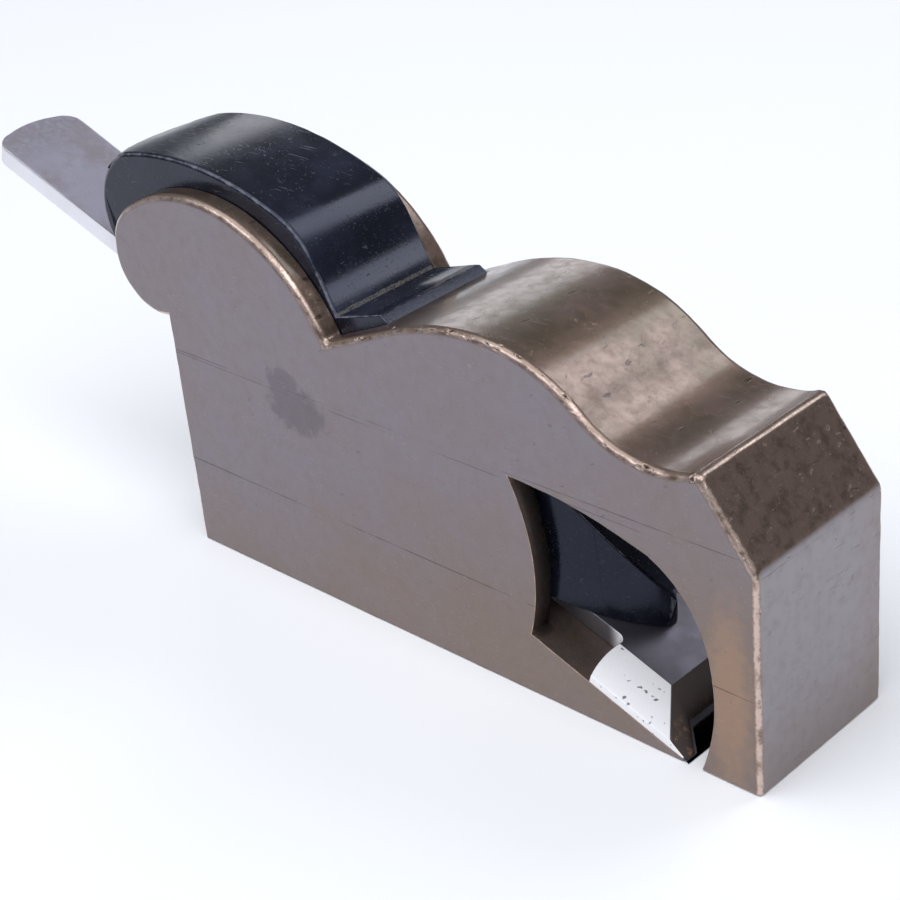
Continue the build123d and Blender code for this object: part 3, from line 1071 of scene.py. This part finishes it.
@dataclass
class PlaneIron:
    """The shouldered steel iron, bevel up."""

    setting: Setting
    length: float = 145.7
    blade_length: float = 16.5
    shoulder_sweep: float = 0.5
    cutting_bevel: float = 19.0
    side_bevel_width: float = 5.7
    land: float = 1.15
    neck_room: float = 3.7
    tail_room: float = 2.175
    tail_bow: float = 1.0
    tail_corner: float = 3.0
    edge_round: float = 0.14

    def plan(self) -> Outline:
        """Draw the plan, with X up the bed from the edge and Z across."""
        at = self.setting
        wide, neck, tail = at.half_width, at.half_slot - self.neck_room, at.half_slot - self.tail_room
        corner = self.tail_corner
        tail_x = self.length - self.tail_bow
        shoulder_x = self.blade_length + self.shoulder_sweep
        line = Outline((0, -wide)).line((self.blade_length, -wide), step=1.0)
        line.arc_through((self.blade_length + 0.7, -(wide + neck) / 2), (shoulder_x, -neck - 0.9))
        line.arc_through((shoulder_x + 0.35, -neck - 0.3), (shoulder_x + 1.2, -neck))
        line.line((tail_x - corner, -tail), step=2.0)
        line.arc_through((tail_x - corner * 0.25, -tail + corner * 0.3), (tail_x + 0.3, -tail + corner))
        line.arc_through((self.length, 0), (tail_x + 0.3, tail - corner))
        line.arc_through((tail_x - corner * 0.25, tail - corner * 0.3), (tail_x - corner, tail))
        line.line((shoulder_x + 1.2, neck), step=2.0)
        line.arc_through((shoulder_x + 0.35, neck + 0.3), (shoulder_x, neck + 0.9))
        line.arc_through((self.blade_length + 0.7, (wide + neck) / 2), (self.blade_length, wide))
        line.line((0, wide), step=1.0)
        return line

    def grind(self, bm: bmesh.types.BMesh) -> None:
        """Cut the side bevels and the cutting bevel off the blade."""
        at = self.setting
        drop = at.iron_thickness - self.land
        flat = (at.half_width - self.side_bevel_width) * MM
        cuts = [((0, at.iron_thickness * MM, side * flat), (0, self.side_bevel_width, side * drop))
                for side in (-1, 1)]
        slope = math.radians(self.cutting_bevel)
        cuts.append(((0, 0, 0), (-math.sin(slope), math.cos(slope), 0)))
        for place, away in cuts:
            geom = bm.verts[:] + bm.edges[:] + bm.faces[:]
            cut = bmesh.ops.bisect_plane(
                bm, geom=geom, plane_co=place, plane_no=away, clear_outer=True, dist=1e-7
            )
            rim = [item for item in cut["geom_cut"] if isinstance(item, bmesh.types.BMEdge)]
            bmesh.ops.holes_fill(bm, edges=[edge for edge in rim if edge.is_boundary], sides=0)

    def edge_width(self, edge: bmesh.types.BMEdge) -> float:
        """How far one edge is rounded, in millimetres."""
        middle = (edge.verts[0].co + edge.verts[1].co) / 2 / MM
        return 0.0 if middle.z < 0.4 else self.edge_round

    def level_top(self, iron: bpy.types.Object) -> None:
        """Press down whatever the rounds left proud of the face that the wedge slides on."""
        at = self.setting
        slope = math.radians(at.bed_angle)
        up = Vector((math.sin(slope), 0, math.cos(slope)))
        edge = Vector((at.edge_x * MM, 0, 0))
        for vert in iron.data.vertices:
            proud = (vert.co - edge).dot(up) - at.iron_thickness * MM
            if proud > 0:
                vert.co -= up * proud

    def build(self, finish: bpy.types.Material) -> bpy.types.Object:
        """Model the iron and lay it on the bed."""
        at = self.setting
        bm = self.plan().prism(0, at.iron_thickness)
        self.grind(bm)
        slope = math.radians(at.bed_angle)
        lay = Matrix(
            (
                (-math.cos(slope), math.sin(slope), 0, at.edge_x * MM),
                (0, 0, 1, 0),
                (math.sin(slope), math.cos(slope), 0, 0),
                (0, 0, 0, 1),
            )
        )
        bmesh.ops.transform(bm, matrix=lay, verts=bm.verts[:])
        bmesh.ops.recalc_face_normals(bm, faces=bm.faces[:])
        iron = as_object("plane_iron", bm)
        iron.data.materials.append(finish)
        round_edges(iron, self.edge_width, 0.5, 2, 10.0)
        wear_rims(iron, 0.015, sink=1.0)
        self.level_top(iron)
        smooth_shading(iron)
        return iron


@dataclass
class PlaneWedge:
    """The ebony wedge, humped behind and pointed in front."""

    setting: Setting
    side_clearance: float = 0.125
    bridge_clearance: float = 0.03
    lip_back: float = 2.5
    valley_back: float = 10.9
    valley_drop: float = 1.2
    face_angle: float = 63.0
    brow_radius: float = 11.0
    top_radius: float = 51.0
    top_back: float = 39.8
    top_height: float = 59.5
    corner_back: float = 56.7
    end_back: float = 58.6
    end_bulge: Point = (2.1, 5.4)
    end_turn_radius: float = 23.1
    nose_back: float = 12.7
    nose_front: Point = (0.9, 4.3)
    nose_root_back: float = 15.0
    nose_swell: float = 0.6
    nose_side_length: float = 16.0
    nose_side_swell: float = 1.6
    nose_offset: float = 1.0
    edge_round: float = 0.65
    nose_round: float = 0.3
    foot_round: float = 0.25

    @property
    def half(self) -> float:
        """Half the wedge's width."""
        return self.setting.half_slot - self.side_clearance

    @property
    def nose_x(self) -> float:
        """X of the nose's foot."""
        return self.setting.edge_x - self.nose_back

    def rear_end(self) -> tuple[Point, Point, Point]:
        """Foot, bulge and top corner of the rear end."""
        at = self.setting
        foot = at.seat(at.bridge_x - self.end_back)
        bulge = (foot[0] - self.end_bulge[0], foot[1] + self.end_bulge[1])
        corner_x = at.bridge_x - self.corner_back
        run = corner_x - at.bridge_x + self.top_back
        top = self.top_height - self.top_radius + math.sqrt(self.top_radius**2 - run**2)
        return foot, bulge, (corner_x, top)

    def side(self) -> Outline:
        """Draw the side view."""
        at = self.setting
        foot, bulge, corner = self.rear_end()
        top_centre = (at.bridge_x - self.top_back, self.top_height - self.top_radius)
        valley = (at.bridge_x - self.valley_back, at.bridge_height - self.valley_drop)
        lean = math.radians(self.face_angle)
        way = Vector((-math.cos(lean), math.sin(lean)))
        inward = Vector((-way.y, way.x))
        start = Vector(valley) + inward * self.brow_radius
        inner = self.top_radius - self.brow_radius
        brow = line_meets_circle((start.x, start.y), way, top_centre, inner, 1)
        brow_angle = math.degrees(math.atan2(brow[1] - top_centre[1], brow[0] - top_centre[0]))
        face_turn = math.degrees(math.atan2(-inward.y, -inward.x))
        corner_angle = math.degrees(math.atan2(corner[1] - top_centre[1], corner[0] - top_centre[0]))
        root = at.ceiling(self.nose_x - self.nose_root_back, self.bridge_clearance)
        nose_foot = at.seat(self.nose_x)
        front = (nose_foot[0] + self.nose_front[0], nose_foot[1] + self.nose_front[1])
        chord = Vector(front) - Vector(root)
        swell = Vector((-chord.y, chord.x)).normalized() * self.nose_swell
        middle = (Vector(front) + Vector(root)) / 2 + swell
        line = Outline(foot).arc_through(bulge, corner)
        line.arc(top_centre, brow_angle - corner_angle)
        line.arc(brow, face_turn - brow_angle)
        line.line(valley, at.ceiling(at.bridge_x - self.lip_back, self.bridge_clearance))
        line.line(root, step=2.0).arc_through((middle.x, middle.y), front).line(nose_foot)
        return line

    def plan_tool(self) -> bpy.types.Object:
        """The pointed plan, as an upright block that holds the nose."""
        half, high = self.half, 2 * self.top_height
        start_x = self.nose_x - self.nose_side_length
        tip = (self.nose_x + self.nose_front[0], self.nose_offset)
        line = Outline((4 * self.setting.heel, -half - 1)).line((start_x - 3, -half - 1), (start_x, -half))
        for begin, end in (((start_x, -half), tip), (tip, (start_x, half))):
            chord = Vector(end) - Vector(begin)
            swell = Vector((chord.y, -chord.x)).normalized() * self.nose_side_swell
            middle = (Vector(begin) + Vector(end)) / 2 + swell
            line.arc_through((middle.x, middle.y), end)
        line.line((start_x - 3, half + 1), (4 * self.setting.heel, half + 1))
        bm = line.prism(-high, high)
        bmesh.ops.rotate(bm, verts=bm.verts[:], cent=(0, 0, 0), matrix=Matrix.Rotation(math.pi / 2, 3, "X"))
        bmesh.ops.scale(bm, verts=bm.verts[:], vec=(1, -1, 1))
        bmesh.ops.recalc_face_normals(bm, faces=bm.faces[:])
        return as_object("plan", bm)

    def end_tool(self) -> bpy.types.Object:
        """The waste behind the rounded rear end: a block with a turned hollow."""
        foot, bulge, corner = self.rear_end()
        axis_x = bulge[0] + self.end_turn_radius
        high, low = self.top_height + 20, -10
        hub = circle_through(foot, bulge, corner)
        lean = Vector((corner[1] - hub[1], hub[0] - corner[0])).normalized() * 3
        above = (corner[0] + lean.x, corner[1] + lean.y)
        line = Outline((axis_x, low)).line((foot[0], low), foot).arc_through(bulge, corner)
        line.line(above, (above[0], high), (axis_x, high))
        half_turn = line.mesh
        bmesh.ops.spin(
            half_turn,
            geom=half_turn.verts[:] + half_turn.edges[:],
            cent=(axis_x * MM, 0, 0),
            axis=(0, 0, 1),
            angle=2 * math.pi,
            steps=96,
            use_merge=True,
        )
        bmesh.ops.remove_doubles(half_turn, verts=half_turn.verts[:], dist=1e-3 * MM)
        bmesh.ops.recalc_face_normals(half_turn, faces=half_turn.faces[:])
        turned = as_object("turned", half_turn)
        block = bmesh.new()
        size = Vector((2 * self.end_turn_radius, 4 * self.half, high - low - 4)) * MM
        bmesh.ops.create_cube(block, size=1.0)
        bmesh.ops.scale(block, verts=block.verts[:], vec=size)
        middle = Vector((axis_x - self.end_turn_radius, 0, (high + low) / 2)) * MM
        bmesh.ops.translate(block, verts=block.verts[:], vec=middle)
        waste = as_object("waste", block)
        combine(waste, turned)
        return waste

    def edge_width(self, edge: bmesh.types.BMEdge) -> float:
        """How far one edge is worn round, in millimetres."""
        at = self.setting
        middle = (edge.verts[0].co + edge.verts[1].co) / 2 / MM
        if abs(middle.z - at.seat(middle.x)[1]) < 0.05:
            return self.foot_round
        if middle.x > self.nose_x - self.nose_side_length + 2:
            return self.nose_round
        return self.foot_round if middle.x > at.bridge_x - self.valley_back else self.edge_round

    def build(self, finish: bpy.types.Material) -> bpy.types.Object:
        """Model the wedge."""
        wedge = as_object("plane_wedge", self.side().prism(-self.half, self.half))
        wedge.data.materials.append(finish)
        combine(wedge, self.plan_tool(), Join.COMMON)
        combine(wedge, self.end_tool())
        tidy_mesh(wedge, 0.2)
        round_edges(wedge, self.edge_width, 1.5, 4)
        wear_rims(wedge, 0.06, sink=1.0)
        smooth_shading(wedge)
        return wedge


# ------------------------------------------------------------------------------------------------- stage


@dataclass
class Studio:
    """A pale floor, soft lights and the camera."""

    camera_place: tuple[float, float, float] = (0.16964, -0.17082, 0.1592)
    camera_turn: tuple[float, float, float] = (60.905, 5.092, 43.55)
    lens: float = 83.63

    def camera(self) -> None:
        """Place the camera."""
        data = bpy.data.cameras.new("camera")
        data.lens = self.lens
        data.sensor_width = 36.0
        data.clip_start = 0.01
        made = bpy.data.objects.new("camera", data)
        made.location = self.camera_place
        made.rotation_euler = [math.radians(turn) for turn in self.camera_turn]
        bpy.context.scene.collection.objects.link(made)
        bpy.context.scene.camera = made

    def lamp(self, name: str, place: tuple, aim: tuple, size: tuple, power: float, colour: Colour) -> None:
        """Hang a soft box that looks at a point."""
        data = bpy.data.lights.new(name, "AREA")
        data.shape = "RECTANGLE"
        data.size, data.size_y = size
        data.energy = power
        data.color = colour
        made = bpy.data.objects.new(name, data)
        made.location = place
        made.rotation_euler = (Vector(aim) - Vector(place)).to_track_quat("-Z", "Y").to_euler()
        bpy.context.scene.collection.objects.link(made)

    def floor(self) -> None:
        """Lay the floor."""
        bm = bmesh.new()
        bmesh.ops.create_grid(bm, x_segments=1, y_segments=1, size=4.0)
        made = as_object("floor", bm)
        made.location.z = -0.0001
        s = Surface("pale_floor")
        tint = s.graph.mix(s.graph.noise(s.place, 0.02), (0.93, 0.945, 0.97), (0.95, 0.96, 0.98))
        s.finish(tint, 0.75, 0.0)
        made.data.materials.append(s.material)

    def build(self) -> None:
        """Set the stage."""
        self.camera()
        self.floor()
        aim = (0, 0, 0.03)
        self.lamp("back_right", (0.153, 0.57, 0.709), aim, (0.38, 0.42), 1.6, (0.96, 0.97, 1.0))
        self.lamp("back_left", (-0.816, 0.816, 0.37), aim, (0.42, 0.36), 0.75, (0.96, 0.97, 1.0))
        self.lamp("key", (0.0, -0.5, 1.2), aim, (2.4, 1.3), 24.0, (0.96, 0.97, 1.0))
        world = bpy.data.worlds.new("studio")
        world.use_nodes = True
        world.node_tree.nodes["Background"].inputs["Color"].default_value = (0.82, 0.86, 0.95, 1.0)
        world.node_tree.nodes["Background"].inputs["Strength"].default_value = 0.22
        bpy.context.scene.world = world
        bpy.context.scene.view_settings.view_transform = "Standard"


def setting_from_frame(frame: dict) -> Setting:
    """Read the body's extents and the bed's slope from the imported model."""
    _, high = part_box("body")
    slide = next(joint for joint in frame["joints"] if joint["child"] == "iron")
    slope = math.degrees(math.atan2(slide["axis"][2], -slide["axis"][0]))
    return Setting(toe=high.x / MM, half_width=high.y / MM, bed_angle=slope)


def main() -> None:
    """Build the plane around the frame."""
    logging.basicConfig(level=logging.INFO, format="%(name)s: %(message)s")
    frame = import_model()
    setting = setting_from_frame(frame)
    effects = Effects()
    gunmetal, casting = GunmetalFinish().build(effects), CastingFinish().build(effects)
    pieces = (
        (PlaneBody(setting).build(gunmetal, casting), "body", "gunmetal"),
        (PlaneIron(setting).build(SteelFinish().build(effects)), "iron", "tool_steel"),
        (PlaneWedge(setting).build(EbonyFinish().build(effects)), "wedge", "ebony"),
    )
    for piece, name, slot in pieces:
        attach(piece, name)
        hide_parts(name)
        LOG.info("%s: %d faces", piece.name, len(piece.data.polygons))
    Studio().build()


if __name__ == "__main__":
    main()
